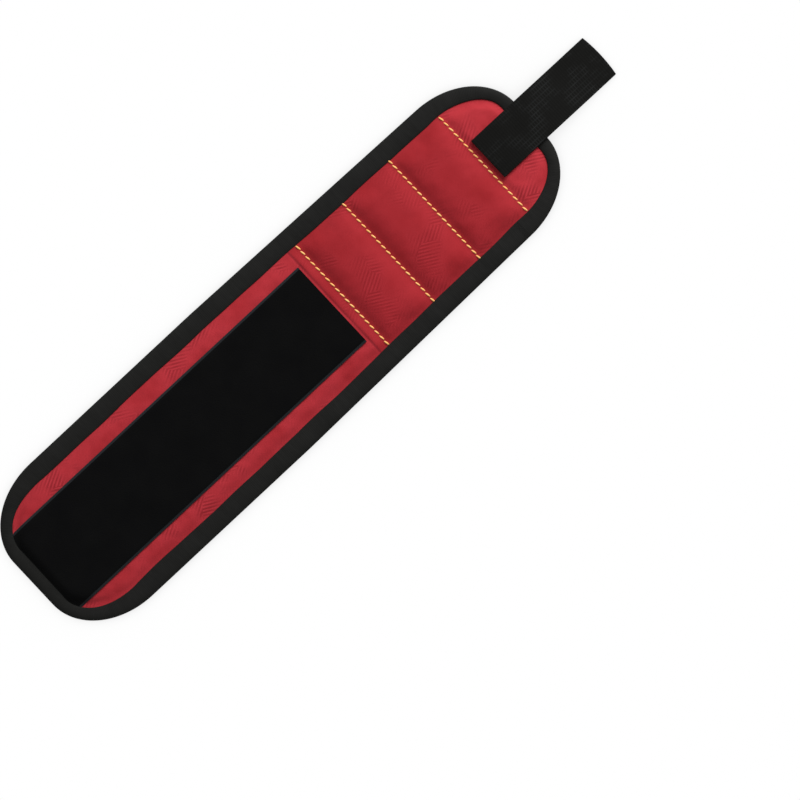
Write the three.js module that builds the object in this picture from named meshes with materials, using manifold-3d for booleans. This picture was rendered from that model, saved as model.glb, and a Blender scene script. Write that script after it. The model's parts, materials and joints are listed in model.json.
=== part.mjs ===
// Magnetic tool wristband, laid flat with its front face up.
// Millimetres, +Z up, +X towards the strap, origin under the middle of the whole length.
import * as THREE from "three";
import { mergeVertices } from "three/addons/utils/BufferGeometryUtils.js";
import Module from "manifold-3d";

const wasm = await Module();
wasm.setup();

// Band outline, seen from the front
const BAND_LENGTH = 344;
const LOOP_END_WIDTH = 91;
const STRAP_END_WIDTH = 86;
const TAPER_START = 150;
const CORNER_ALONG = 40;
const CORNER_ACROSS = 31;

// Sewn magnet cells, counted from the loop tape to the strap
const CELL_LENGTHS = [31.8, 31.8, 33.7];
const STRAP_ZONE = 33;

// Lines where the soft band folds round the wrist
const LOOP_SECTIONS = 4;
const FOLD_PAST_SEAM = 1.6;
const FOLD_GAP = 0.4;

// Layers, from the wrist outwards
const CLEARANCE = 0.3;
const LINING_THICKNESS = 1.8;
const PADDING_THICKNESS = 1.8;
const COVER_THICKNESS = 0.7;
const FLANGE_THICKNESS = 0.6;

// Binding tape folded over the whole edge
const BINDING_TAPE = 0.8;
const BINDING_SIDE_WIDTH = 10;
const BINDING_END_WIDTH = 7;
const BINDING_LIFT = 0.5;
const BINDING_ROLL = 0.7;

// Padded form of the front cover
const CELL_CROWN = 1.4;
const CROWN_FLATNESS = 4;
const BORDER_CROWN = 0.7;
const SEAM_DIP = 0.8;
const SEAM_HALF_WIDTH = 3;

// Loop tape on the front
const LOOP_TAPE_WIDTH = 51;
const LOOP_TAPE_THICKNESS = 1.4;
const LOOP_TAPE_TO_SEAM = 6.8;

// Hook patch on the back
const HOOK_PATCH_LENGTH = 51;
const HOOK_PATCH_WIDTH = 50;
const HOOK_PATCH_THICKNESS = 1;
const HOOK_PATCH_FROM_END = 12;
const HOOK_HEM_WIDTH = 3.5;
const HOOK_HEM_HEIGHT = 0.25;

// Diamond net of the lining
const NET_PITCH = 12;
const NET_GAP = 9;
const NET_MARGIN = 1.5;

// Magnet discs under the cover
const MAGNET_DIAMETER = 12;
const MAGNET_THICKNESS = 2;
const MAGNET_SPACE = 1.5;

// Orange sewing thread across the front
const THREAD_THICK = 0.9;
const THREAD_THIN = 0.4;
const STITCH_PITCH = 2.5;

// Webbing strap sewn on the front
const STRAP_WIDTH = 25;
const STRAP_THICKNESS = 1.6;
const STRAP_SEWN_LENGTH = 29.8;
const STRAP_FREE_LENGTH = 47.5;
const STRAP_HINGE_OUT = 1.2;
const STRAP_FOLD_DOWN = 65;

// Places inwards from the edge, in widths of the binding
const EDGE_OF_LAYERS = 0.2;
const BINDING_EDGE = 1;
const RAMP_START = 1.15;
const RAMP_END = 1.55;
const MAGNET_EDGE = 1.65;
const CROWN_FULL = 2;
const DEEPEST_SHARE = 2.6;
const clearOfBinding = BINDING_EDGE + CLEARANCE / BINDING_END_WIDTH;

// How finely round stretches are divided
const CORNER_STEPS = 8;
const OUTLINE_STEPS = CORNER_STEPS / 2;
const SHARE_STEPS = 24;
const DISC_SIDES = 20;
const DIAMOND_SIDES = 4;
const RIM_SAMPLES = 12;

// Heights that follow from the layers
const liningFlangeBottom = BINDING_LIFT + BINDING_TAPE + CLEARANCE;
const liningFlangeTop = liningFlangeBottom + FLANGE_THICKNESS;
const coverFlangeTop = liningFlangeTop + CLEARANCE + COVER_THICKNESS;
const bindingTop = coverFlangeTop + CLEARANCE + BINDING_TAPE;
const paddingBottom = LINING_THICKNESS + CLEARANCE;
const coverFieldTop = paddingBottom + PADDING_THICKNESS + CLEARANCE + COVER_THICKNESS;
const onCover = coverFieldTop + CLEARANCE;
const tapeTop = onCover + LOOP_TAPE_THICKNESS;
const strapTop = onCover + STRAP_THICKNESS;

// The free strap droops from its hinge until its tip lies on the table
const strapOverBinding = bindingTop + CLEARANCE;
const strapHingeHeight = strapOverBinding + STRAP_THICKNESS;
const strapDiagonal = Math.hypot(STRAP_FREE_LENGTH, STRAP_THICKNESS);
const strapDroop =
  Math.asin((strapHingeHeight - CLEARANCE) / strapDiagonal) -
  Math.atan(STRAP_THICKNESS / STRAP_FREE_LENGTH);
const strapReach = STRAP_HINGE_OUT + STRAP_FREE_LENGTH * Math.cos(strapDroop);

// Places along the band
const bandStart = -(BAND_LENGTH + strapReach) / 2;
const bandEnd = bandStart + BAND_LENGTH;
const cellSpan = CELL_LENGTHS.reduce((sum, length) => sum + length, 0);
const loopZone = BAND_LENGTH - STRAP_ZONE - cellSpan;
const seams = [bandStart + loopZone];
for (const length of CELL_LENGTHS) {
  seams.push(seams.at(-1) + length);
}
const tapeEnd = seams[0] - LOOP_TAPE_TO_SEAM;
const patchEnd = bandEnd - HOOK_PATCH_FROM_END;
const patchStart = patchEnd - HOOK_PATCH_LENGTH;

// Sections between the fold lines; the last cell and the strap end are one stiff tail
const folds = [bandStart];
for (let section = 1; section < LOOP_SECTIONS; section++) {
  folds.push(bandStart + (loopZone * section) / LOOP_SECTIONS);
}
for (const seam of seams.slice(0, -1)) {
  folds.push(seam + FOLD_PAST_SEAM);
}
folds.push(bandEnd);
const sections = folds.slice(0, -1).map((from, index) => {
  const isTail = index === folds.length - 2;
  const cell = index - LOOP_SECTIONS + 1;
  const loopName = `loop_${index + 1}`;
  const cellName = isTail ? "tail" : `cell_${cell}`;
  const name = cell < 1 ? loopName : cellName;
  const isEnd = index === 0 || isTail;
  return { name, from, to: folds[index + 1], isEnd, isTail, isLoop: cell < 1 };
});

// Rises from 0 to 1 between two values, level at both ends
function smooth(low, high, value) {
  return THREE.MathUtils.smoothstep(value, low, high);
}

// Half the width of the straight sides, which draw in towards the strap
function sideHalf(x) {
  const taperFrom = bandStart + TAPER_START;
  const taperTo = bandEnd - CORNER_ALONG;
  const drawn = THREE.MathUtils.clamp((x - taperFrom) / (taperTo - taperFrom), 0, 1);
  return THREE.MathUtils.lerp(LOOP_END_WIDTH, STRAP_END_WIDTH, drawn) / 2;
}

// Half the width of the outline that lies a share of the binding's width inside the edge
function halfWidth(x, share) {
  const along = Math.max(CORNER_ALONG - BINDING_END_WIDTH * share, CLEARANCE);
  const across = Math.max(CORNER_ACROSS - BINDING_SIDE_WIDTH * share, CLEARANCE);
  const half = sideHalf(x) - BINDING_SIDE_WIDTH * share;
  const fromEnd = Math.min(x - bandStart, bandEnd - x) - BINDING_END_WIDTH * share;
  if (fromEnd < 0) return -1;
  const turn = Math.max(1 - fromEnd / along, 0);
  return half - across * (1 - Math.sqrt(1 - turn * turn));
}

// How far inside the edge a point lies, in widths of the binding
function shareAt(x, y) {
  let inside = 0;
  let outside = DEEPEST_SHARE;
  for (let step = 0; step < SHARE_STEPS; step++) {
    const middle = (inside + outside) / 2;
    if (halfWidth(x, middle) >= Math.abs(y)) inside = middle;
    else outside = middle;
  }
  return inside;
}

// How far the layers have swollen from the bound flange, 0, to the open field, 1
function riseAt(x, y) {
  return smooth(RAMP_START, RAMP_END, shareAt(x, y));
}

// Crown of the magnet cells, and of the soft borders beside the loop tape
function crownAt(x, y) {
  const share = shareAt(x, y);
  const cell = CELL_LENGTHS.findIndex((_, index) => x > seams[index] && x < seams[index + 1]);
  if (cell >= 0) {
    const middle = (seams[cell] + seams[cell + 1]) / 2;
    const offset = (x - middle) / (CELL_LENGTHS[cell] / 2);
    return CELL_CROWN * (1 - offset ** CROWN_FLATNESS) * smooth(BINDING_EDGE, CROWN_FULL, share);
  }
  if (x > seams[0]) return 0;
  const tapeHalf = LOOP_TAPE_WIDTH / 2;
  const besideTape = smooth(tapeHalf, tapeHalf + SEAM_HALF_WIDTH, Math.abs(y));
  const border = THREE.MathUtils.clamp(share - BINDING_EDGE, 0, 1);
  const beforeSeam = smooth(0, SEAM_HALF_WIDTH, seams[0] - x);
  return BORDER_CROWN * Math.sin(Math.PI * border) * besideTape * beforeSeam;
}

// Channel that each row of sewing draws into the cover
function dipAt(x) {
  const nearest = Math.min(...seams.map((seam) => Math.abs(x - seam)));
  return SEAM_DIP * (1 - smooth(0, SEAM_HALF_WIDTH, nearest));
}

function coverTopAt(x, y) {
  const rise = riseAt(x, y);
  const level = THREE.MathUtils.lerp(coverFlangeTop, coverFieldTop, rise);
  return level + crownAt(x, y) - dipAt(x) * rise;
}

function coverBottomAt(x, y) {
  return coverTopAt(x, y) - COVER_THICKNESS;
}

function liningTopAt(x, y) {
  return THREE.MathUtils.lerp(liningFlangeTop, LINING_THICKNESS, riseAt(x, y));
}

function liningBottomAt(x, y) {
  return liningFlangeBottom * (1 - riseAt(x, y));
}

// Solids from geometries and back
function solidFrom(geometry) {
  const bare = geometry.clone();
  bare.deleteAttribute("normal");
  bare.deleteAttribute("uv");
  const merged = mergeVertices(bare);
  const vertProperties = new Float32Array(merged.attributes.position.array);
  const triVerts = new Uint32Array(merged.index.array);
  return new wasm.Manifold(new wasm.Mesh({ numProp: 3, vertProperties, triVerts }));
}

function geometryFrom(solid) {
  const { vertProperties, triVerts } = solid.getMesh();
  const geometry = new THREE.BufferGeometry();
  geometry.setAttribute("position", new THREE.BufferAttribute(vertProperties, 3));
  geometry.setIndex(new THREE.BufferAttribute(triVerts, 1));
  geometry.computeVertexNormals();
  return geometry;
}

function boxSolid(low, high) {
  const size = high.clone().sub(low);
  const box = new THREE.BoxGeometry(size.x, size.y, size.z);
  const middle = low.clone().add(high).multiplyScalar(0.5);
  return solidFrom(box.translate(middle.x, middle.y, middle.z));
}

// Closed skin over rings of points: each ring joins the next, and the ends join or are capped
function ringGeometry(rings, isLoop) {
  const count = rings[0].length;
  const points = rings.flat();
  const faces = [];
  const joints = isLoop ? rings.length : rings.length - 1;
  for (let ring = 0; ring < joints; ring++) {
    const here = ring * count;
    const there = ((ring + 1) % rings.length) * count;
    for (let side = 0; side < count; side++) {
      const next = (side + 1) % count;
      faces.push(here + side, there + side, there + next);
      faces.push(here + side, there + next, here + next);
    }
  }
  if (!isLoop) {
    const last = (rings.length - 1) * count;
    for (let side = 1; side < count - 1; side++) {
      faces.push(0, side, side + 1);
      faces.push(last, last + side + 1, last + side);
    }
  }
  const geometry = new THREE.BufferGeometry().setFromPoints(points);
  geometry.setIndex(faces);
  return geometry;
}

// A soft layer: one ring of points for each station along the band, top side then bottom side
function layerSolid(stations, lines, topAt, bottomAt) {
  const rings = stations.map((x) => {
    const half = halfWidth(x, EDGE_OF_LAYERS);
    const across = lines.map((line) => line * half);
    const top = across.map((y) => new THREE.Vector3(x, y, topAt(x, y)));
    const bottom = across.map((y) => new THREE.Vector3(x, y, bottomAt(x, y)));
    return [...top, ...bottom.reverse()];
  });
  return solidFrom(layerGeometry(rings, lines.length));
}

// Top and bottom are split along the same diagonals, and the ends are strips of squares
function layerGeometry(rings, lineCount) {
  const count = rings[0].length;
  const faces = [];
  for (let ring = 0; ring < rings.length - 1; ring++) {
    for (let side = 0; side < count; side++) {
      const next = (side + 1) % count;
      const [near, nearNext] = [ring * count + side, ring * count + next];
      const [far, farNext] = [near + count, nearNext + count];
      if (side < lineCount) faces.push(near, far, farNext, near, farNext, nearNext);
      else faces.push(near, far, nearNext, far, farNext, nearNext);
    }
  }
  const last = (rings.length - 1) * count;
  for (let line = 0; line < lineCount - 1; line++) {
    const below = count - 1 - line;
    faces.push(line, line + 1, below - 1, line, below - 1, below);
    faces.push(last + line, last + below - 1, last + line + 1);
    faces.push(last + line, last + below, last + below - 1);
  }
  const geometry = new THREE.BufferGeometry().setFromPoints(rings.flat());
  geometry.setIndex(faces);
  return geometry;
}

// Stations that follow the round corners of both ends, from a given depth inside the edge
function cornerStations(share) {
  const inset = BINDING_END_WIDTH * share;
  const along = CORNER_ALONG - inset;
  const stations = [];
  for (let step = 0; step <= CORNER_STEPS; step++) {
    const turn = (Math.PI / 2) * (step / CORNER_STEPS);
    const reach = inset + along * (1 - Math.cos(turn));
    stations.push(bandStart + reach, bandEnd - reach);
  }
  return stations;
}

// Stations where the padded form changes: the seams, their channels and the crowns
function paddedStations() {
  const stations = [seams[0] - SEAM_HALF_WIDTH];
  seams.forEach((seam, index) => {
    stations.push(seam, seam + SEAM_HALF_WIDTH);
    const length = CELL_LENGTHS[index];
    if (!length) return;
    const quarters = [1, 2, 3].map((quarter) => seam + (length * quarter) / 4);
    stations.push(...quarters, seam + length - SEAM_HALF_WIDTH);
  });
  return stations;
}

function inOrder(stations) {
  const sorted = stations.toSorted((a, b) => a - b);
  return sorted.filter((x, index) => index === 0 || x - sorted[index - 1] > CLEARANCE / 2);
}

// Lines along the band, as parts of the half width, from shares of the binding's width
function linesFrom(shares) {
  const half = LOOP_END_WIDTH / 2;
  const outer = half - BINDING_SIDE_WIDTH * EDGE_OF_LAYERS;
  const near = shares.map((share) => (half - BINDING_SIDE_WIDTH * share) / outer);
  const positive = [1, ...near, near.at(-1) / 2];
  return [...positive.map((line) => -line), 0, ...positive.reverse()];
}

// Cover and padding share one grid, so that their faces stay parallel
const edgeStations = [...cornerStations(EDGE_OF_LAYERS), bandStart + TAPER_START];
const flatStations = inOrder(edgeStations);
const paddedGrid = inOrder([...edgeStations, ...paddedStations()]);
const rampMiddle = (RAMP_START + RAMP_END) / 2;
const flatLines = linesFrom([BINDING_EDGE, rampMiddle, RAMP_END]);
const paddedLines = linesFrom([BINDING_EDGE, rampMiddle, RAMP_END, MAGNET_EDGE, CROWN_FULL]);

// The outline drawn in by a share of the binding's width, from the strap end round
function outlineShape(share) {
  const along = CORNER_ALONG - BINDING_END_WIDTH * share;
  const across = CORNER_ACROSS - BINDING_SIDE_WIDTH * share;
  const loopX = bandStart + CORNER_ALONG;
  const strapX = bandEnd - CORNER_ALONG;
  const loopY = LOOP_END_WIDTH / 2 - CORNER_ACROSS;
  const strapY = STRAP_END_WIDTH / 2 - CORNER_ACROSS;
  const taperX = bandStart + TAPER_START;
  const taperY = LOOP_END_WIDTH / 2 - BINDING_SIDE_WIDTH * share;
  const quarter = Math.PI / 2;
  const shape = new THREE.Shape();
  shape.absellipse(strapX, -strapY, along, across, -quarter, 0);
  shape.absellipse(strapX, strapY, along, across, 0, quarter);
  shape.lineTo(taperX, taperY);
  shape.absellipse(loopX, loopY, along, across, quarter, 2 * quarter);
  shape.absellipse(loopX, -loopY, along, across, 2 * quarter, 3 * quarter);
  shape.lineTo(taperX, -taperY);
  return shape;
}

// The part of a solid that lies inside that outline
function insideOutline(solid, share) {
  const settings = { depth: strapTop, bevelEnabled: false, curveSegments: OUTLINE_STEPS };
  const prism = new THREE.ExtrudeGeometry(outlineShape(share), settings);
  return solid.intersect(solidFrom(prism));
}

// The foam fills the space between the lining and the cover, inside the bound edge
function paddingSolid() {
  const topAt = (x, y) => coverBottomAt(x, y) - CLEARANCE;
  const bottomAt = (x, y) => Math.min(liningTopAt(x, y) + CLEARANCE, topAt(x, y) - CLEARANCE);
  return insideOutline(layerSolid(paddedGrid, paddedLines, topAt, bottomAt), MAGNET_EDGE);
}

// The lining is pressed in under the hook patch, and its open net is cut afterwards
function liningSolid() {
  const patchHalf = HOOK_PATCH_WIDTH / 2;
  const low = new THREE.Vector3(patchStart - CLEARANCE, -patchHalf - CLEARANCE, -CLEARANCE);
  const seat = HOOK_PATCH_THICKNESS + CLEARANCE;
  const high = new THREE.Vector3(patchEnd + CLEARANCE, patchHalf + CLEARANCE, seat);
  const sheet = layerSolid(flatStations, flatLines, liningTopAt, liningBottomAt);
  return sheet.subtract(boxSolid(low, high));
}

// One diamond gap of the net, right through the lining
function netGap(x, y) {
  const height = LINING_THICKNESS + 2 * CLEARANCE;
  const prism = new THREE.CylinderGeometry(NET_GAP / 2, NET_GAP / 2, height, DIAMOND_SIDES);
  prism.rotateX(Math.PI / 2);
  return solidFrom(prism.translate(x, y, LINING_THICKNESS / 2));
}

function gapFits(x, y) {
  const reach = NET_GAP / 2;
  const corners = [[reach, 0], [-reach, 0], [0, reach], [0, -reach]];
  const onNet = corners.every(([dx, dy]) => shareAt(x + dx, y + dy) > RAMP_END);
  const room = reach + NET_MARGIN;
  const besidePatch = Math.abs(y) > HOOK_PATCH_WIDTH / 2 + room;
  return onNet && (besidePatch || x > patchEnd + room || x < patchStart - room);
}

// Gaps of one section of the net, in staggered columns
function netGaps({ from, to }) {
  const step = NET_PITCH / 2;
  const room = to - from - FOLD_GAP - 2 * NET_MARGIN - NET_GAP;
  const columns = Math.max(Math.floor(room / step) + 1, 0);
  const first = (from + to - (columns - 1) * step) / 2;
  const rows = Math.ceil(LOOP_END_WIDTH / NET_PITCH);
  const gaps = [];
  for (let column = 0; column < columns; column++) {
    for (let row = -rows; row <= rows; row++) {
      const x = first + column * step;
      const y = (row + (column % 2) / 2) * NET_PITCH;
      if (gapFits(x, y)) gaps.push(netGap(x, y));
    }
  }
  return gaps;
}

// Section of the folded tape: how far in from the edge and how high, round from the top leaf
function bindingSection(leaf) {
  const low = BINDING_LIFT;
  const high = bindingTop;
  const tape = BINDING_TAPE;
  const roll = BINDING_ROLL;
  return [
    [leaf, high],
    [tape + roll, high],
    [roll / 2, high - roll / 2],
    [0, high - tape - roll],
    [0, low + tape + roll],
    [roll / 2, low + roll / 2],
    [tape + roll, low],
    [leaf, low],
    [leaf, low + tape],
    [tape + roll, low + tape],
    [tape, low + tape + roll / 2],
    [tape, high - tape - roll / 2],
    [tape + roll, high - tape],
    [leaf, high - tape],
  ];
}

// The binding runs once round the edge, between the outline and its own inner edge
function bindingSolid() {
  const outer = outlineShape(0).getPoints(OUTLINE_STEPS).reverse();
  const inner = outlineShape(BINDING_EDGE).getPoints(OUTLINE_STEPS).reverse();
  const rings = outer.map((edge, index) => {
    const leaf = edge.distanceTo(inner[index]);
    const inwards = inner[index].clone().sub(edge).divideScalar(leaf);
    return bindingSection(leaf).map(([depth, height]) => {
      const place = edge.clone().addScaledVector(inwards, depth);
      return new THREE.Vector3(place.x, place.y, height);
    });
  });
  return solidFrom(ringGeometry(rings, true));
}

// Loop tape from the binding at the loop end almost to the first seam
function loopTapeSolid() {
  const half = LOOP_TAPE_WIDTH / 2;
  const low = new THREE.Vector3(bandStart, -half, onCover);
  const tape = boxSolid(low, new THREE.Vector3(tapeEnd, half, tapeTop));
  return insideOutline(tape, clearOfBinding);
}

// The part of a solid that lies in one section, with half a fold gap off each fold
function slice(solid, { from, to, isTail }, side = 0) {
  const beyond = BAND_LENGTH;
  const start = from === bandStart ? from - beyond : from + FOLD_GAP / 2;
  const end = isTail ? to + beyond : to - FOLD_GAP / 2;
  const low = new THREE.Vector3(start, side > 0 ? 0 : -beyond, -beyond);
  const high = new THREE.Vector3(end, side < 0 ? 0 : beyond, beyond);
  return solid.intersect(boxSolid(low, high));
}

// Places of the magnets in one cell, spread evenly over the flat of its crown
function magnetPlaces(cell) {
  const x = (seams[cell] + seams[cell + 1]) / 2;
  const span = 2 * halfWidth(x, MAGNET_EDGE);
  const count = Math.floor((span + MAGNET_SPACE) / (MAGNET_DIAMETER + MAGNET_SPACE));
  const pitch = (span - MAGNET_DIAMETER) / Math.max(count - 1, 1);
  const radius = MAGNET_DIAMETER / 2;
  return Array.from({ length: count }, (_, index) => {
    const y = (index - (count - 1) / 2) * pitch;
    const rim = Array.from({ length: RIM_SAMPLES }, (_unused, sample) => {
      const turn = (2 * Math.PI * sample) / RIM_SAMPLES;
      return coverBottomAt(x + radius * Math.cos(turn), y + radius * Math.sin(turn));
    });
    return new THREE.Vector3(x, y, Math.min(...rim) - 2 * CLEARANCE - MAGNET_THICKNESS);
  });
}

// Pocket in the foam, open towards the cover
function magnetPocket(place) {
  const radius = MAGNET_DIAMETER / 2 + CLEARANCE;
  const depth = coverFieldTop + CELL_CROWN;
  const hole = new THREE.CylinderGeometry(radius, radius, depth, DISC_SIDES);
  hole.rotateX(Math.PI / 2);
  return solidFrom(hole.translate(place.x, place.y, place.z - CLEARANCE + depth / 2));
}

function magnetGeometry(place) {
  const radius = MAGNET_DIAMETER / 2;
  const disc = new THREE.CylinderGeometry(radius, radius, MAGNET_THICKNESS, DISC_SIDES);
  disc.rotateX(Math.PI / 2);
  return disc.translate(place.x, place.y, place.z + MAGNET_THICKNESS / 2);
}

// One row of sewing: a thread that is thick in each stitch and thin where it dives
function threadGeometry(seam) {
  const half = halfWidth(seam, RAMP_START);
  const count = Math.round((2 * half) / STITCH_PITCH);
  const rings = [];
  for (let step = 0; step <= 2 * count; step++) {
    const y = -half + (half * step) / count;
    const radius = (step % 2 ? THREAD_THICK : THREAD_THIN) / 2;
    const height = coverTopAt(seam, y) + CLEARANCE + THREAD_THICK / 2;
    rings.push([
      new THREE.Vector3(seam + radius, y, height),
      new THREE.Vector3(seam, y, height + radius),
      new THREE.Vector3(seam - radius, y, height),
      new THREE.Vector3(seam, y, height - radius),
    ]);
  }
  return ringGeometry(rings, false);
}

// A side view drawn in x and z, made as wide as the strap
function strapGeometry(outline) {
  const shape = new THREE.Shape(outline.map(([x, z]) => new THREE.Vector2(x, z)));
  const depth = STRAP_WIDTH;
  const geometry = new THREE.ExtrudeGeometry(shape, { depth, bevelEnabled: false });
  return geometry.rotateX(Math.PI / 2).translate(0, STRAP_WIDTH / 2, 0);
}

const strapHingeX = bandEnd + STRAP_HINGE_OUT;
const strapBevel =
  STRAP_THICKNESS * Math.tan(THREE.MathUtils.degToRad(STRAP_FOLD_DOWN / 2));

// Sewn length: level on the cover, then down onto the binding and out to the fold
function strapBaseGeometry() {
  const start = bandEnd - STRAP_SEWN_LENGTH;
  const stepFrom = bandEnd - BINDING_END_WIDTH * RAMP_END;
  const stepTo = bandEnd - BINDING_END_WIDTH * BINDING_EDGE;
  const fold = strapHingeX - FOLD_GAP / 2;
  return strapGeometry([
    [start, onCover],
    [stepFrom, onCover],
    [stepTo, strapOverBinding],
    [fold - strapBevel, strapOverBinding],
    [fold, strapHingeHeight],
    [stepTo, strapHingeHeight],
    [stepFrom, strapTop],
    [start, strapTop],
  ]);
}

// Free length, drawn from its hinge along +X and then turned down to the table
function strapTabGeometry() {
  const root = FOLD_GAP / 2;
  return strapGeometry([
    [root + strapBevel, -STRAP_THICKNESS],
    [STRAP_FREE_LENGTH, -STRAP_THICKNESS],
    [STRAP_FREE_LENGTH, 0],
    [root, 0],
  ]);
}

// Hook patch with its field a little lower than the hems on three sides
function hookPatchSolid() {
  const half = HOOK_PATCH_WIDTH / 2;
  const low = new THREE.Vector3(patchStart, -half, 0);
  const plate = boxSolid(low, new THREE.Vector3(patchEnd, half, HOOK_PATCH_THICKNESS));
  const inner = half - HOOK_HEM_WIDTH;
  const fieldLow = new THREE.Vector3(patchStart + HOOK_HEM_WIDTH, -inner, -CLEARANCE);
  const fieldHigh = new THREE.Vector3(bandEnd, inner, HOOK_HEM_HEIGHT);
  return insideOutline(plate.subtract(boxSolid(fieldLow, fieldHigh)), clearOfBinding);
}

// Finishes: colour, roughness, metalness
const FINISHES = {
  cover: [0xa52a30, 0.85, 0],
  binding: [0x242422, 0.9, 0],
  loopTape: [0x111111, 1, 0],
  padding: [0x1c1c1c, 1, 0],
  lining: [0x1a1b1b, 0.9, 0],
  thread: [0xf0a848, 0.6, 0],
  magnet: [0xb9bcc0, 0.3, 1],
  strap: [0x1c1c1b, 0.85, 0],
  hook: [0x21211f, 0.8, 0],
};

const band = new THREE.Group();
band.name = "magnetic_wristband";

function addPiece(name, finish, geometry, parent = band) {
  const [color, roughness, metalness] = FINISHES[finish];
  const material = new THREE.MeshStandardMaterial({ color, roughness, metalness });
  const piece = new THREE.Mesh(geometry, material);
  piece.name = name;
  parent.add(piece);
}

// Layers are made whole and then cut at the folds
const cover = layerSolid(paddedGrid, paddedLines, coverTopAt, coverBottomAt);
const padding = paddingSolid();
const lining = liningSolid();
const binding = bindingSolid();
const loopTape = loopTapeSolid();
const magnets = CELL_LENGTHS.map((_, cell) => magnetPlaces(cell));
const pockets = magnets.flat().map(magnetPocket);
const pocketedPadding = pockets.reduce((foam, pocket) => foam.subtract(pocket), padding);

for (const section of sections) {
  const { name, isEnd, isLoop } = section;
  addPiece(`cover_${name}`, "cover", geometryFrom(slice(cover, section)));
  addPiece(`padding_${name}`, "padding", geometryFrom(slice(pocketedPadding, section)));
  const netted = netGaps(section).reduce((net, gap) => net.subtract(gap), slice(lining, section));
  addPiece(`lining_${name}`, "lining", geometryFrom(netted));
  if (isLoop) {
    const tapeName = name.replace("loop", "loop_tape");
    addPiece(tapeName, "loopTape", geometryFrom(slice(loopTape, section)));
  }
  if (isEnd) {
    addPiece(`binding_${name}`, "binding", geometryFrom(slice(binding, section)));
    continue;
  }
  addPiece(`binding_${name}_left`, "binding", geometryFrom(slice(binding, section, 1)));
  addPiece(`binding_${name}_right`, "binding", geometryFrom(slice(binding, section, -1)));
}

magnets.forEach((places, cell) => {
  places.forEach((place, index) => {
    addPiece(`magnet_${cell + 1}_${index + 1}`, "magnet", magnetGeometry(place));
  });
});

seams.forEach((seam, index) => {
  addPiece(`seam_thread_${index + 1}`, "thread", threadGeometry(seam));
});

addPiece("hook_patch", "hook", geometryFrom(hookPatchSolid()));
addPiece("strap_base", "strap", strapBaseGeometry());

const strapFold = new THREE.Group();
strapFold.position.set(strapHingeX, 0, strapHingeHeight);
strapFold.rotation.y = strapDroop;
addPiece("strap_tab", "strap", strapTabGeometry(), strapFold);
band.add(strapFold);

export default band;
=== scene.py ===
# %% [markdown]
# # A padded wristband, dressed in Blender
# The band lies flat with its red front up. It is a sandwich: a mesh lining on the wrist side, foam,
# a red cover that rows of sewing draw into cells, and a black tape folded round the edge. The solids
# come from the frame and stay where they are. Each cloth layer is made here once, whole, and is then
# cut in the middle of the rigid sections, so that every piece spans just one fold.

# %% Load the frame
import json
import math
import bpy
import numpy as np
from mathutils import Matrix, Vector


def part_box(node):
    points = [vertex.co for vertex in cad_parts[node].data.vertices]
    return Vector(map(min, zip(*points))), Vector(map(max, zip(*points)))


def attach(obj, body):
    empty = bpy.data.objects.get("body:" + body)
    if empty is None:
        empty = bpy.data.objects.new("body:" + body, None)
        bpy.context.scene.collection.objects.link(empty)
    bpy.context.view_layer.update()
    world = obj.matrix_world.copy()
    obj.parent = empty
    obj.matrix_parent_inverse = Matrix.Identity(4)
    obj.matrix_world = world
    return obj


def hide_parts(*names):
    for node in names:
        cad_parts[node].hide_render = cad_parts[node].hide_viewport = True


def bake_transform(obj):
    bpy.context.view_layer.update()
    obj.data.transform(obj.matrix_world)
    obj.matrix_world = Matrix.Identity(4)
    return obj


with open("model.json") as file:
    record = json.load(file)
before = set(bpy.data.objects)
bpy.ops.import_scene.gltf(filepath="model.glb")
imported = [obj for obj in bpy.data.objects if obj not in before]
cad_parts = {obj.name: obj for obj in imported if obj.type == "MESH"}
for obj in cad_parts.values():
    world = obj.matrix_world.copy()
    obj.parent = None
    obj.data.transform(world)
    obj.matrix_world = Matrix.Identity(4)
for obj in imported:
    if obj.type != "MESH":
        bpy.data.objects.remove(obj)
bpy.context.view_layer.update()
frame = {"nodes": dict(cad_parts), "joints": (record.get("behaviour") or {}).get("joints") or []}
bpy.ops.object.select_all(action="DESELECT")
MM = 0.001

# %% [markdown]
# ## Places along the band
# The fold lines, the rows of sewing and the ends are read from the frame, so the cloth always fits
# the solids. Lengths are in metres; MM turns a size in millimetres into metres. Each bend is given a
# reach of nine millimetres on either side of its fold line; the fourth starts a little later, because
# the loop tape ends just before it.

# %% Fold lines, seams and ends
band_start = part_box("binding_loop_1")[0].x
band_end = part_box("binding_tail")[1].x
band_middle, band_half = (band_start + band_end) / 2, (band_end - band_start) / 2
loop_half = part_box("binding_loop_1")[1].y
strap_half = 43 * MM
seams = [sum(corner.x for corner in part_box(f"seam_thread_{row}")) / 2 for row in (1, 2, 3, 4)]
sections = ["loop_1", "loop_2", "loop_3", "loop_4", "cell_1", "cell_2", "tail"]
hinges = {joint["name"]: joint["pos_m"] for joint in frame["joints"]}
folds = [hinges[f"wrap_fold_{number}"][0] for number in range(1, 7)]
bend_reach, short_reach = 9 * MM, 8 * MM
bends = [(bend_reach, bend_reach)] * len(folds)
bends[3] = (short_reach, bend_reach)
cuts = [(low + high) / 2 for low, high in zip(folds, folds[1:])]
print("folds at", [round(x / MM, 1) for x in folds], "seams at", [round(x / MM, 1) for x in seams])

# %% [markdown]
# ## The outline
# Seen from above the band is a long strip with elliptical corners, a little narrower at the strap.
# Everything near the edge is told how deep it lies inside it, counted in widths of the edge tape:
# 0 is the very edge, 1 the inner edge of the tape. That one number shapes all the layers. It has no
# plain formula near the corners, so it is found by halving, between the edge and a depth in the field.

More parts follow.
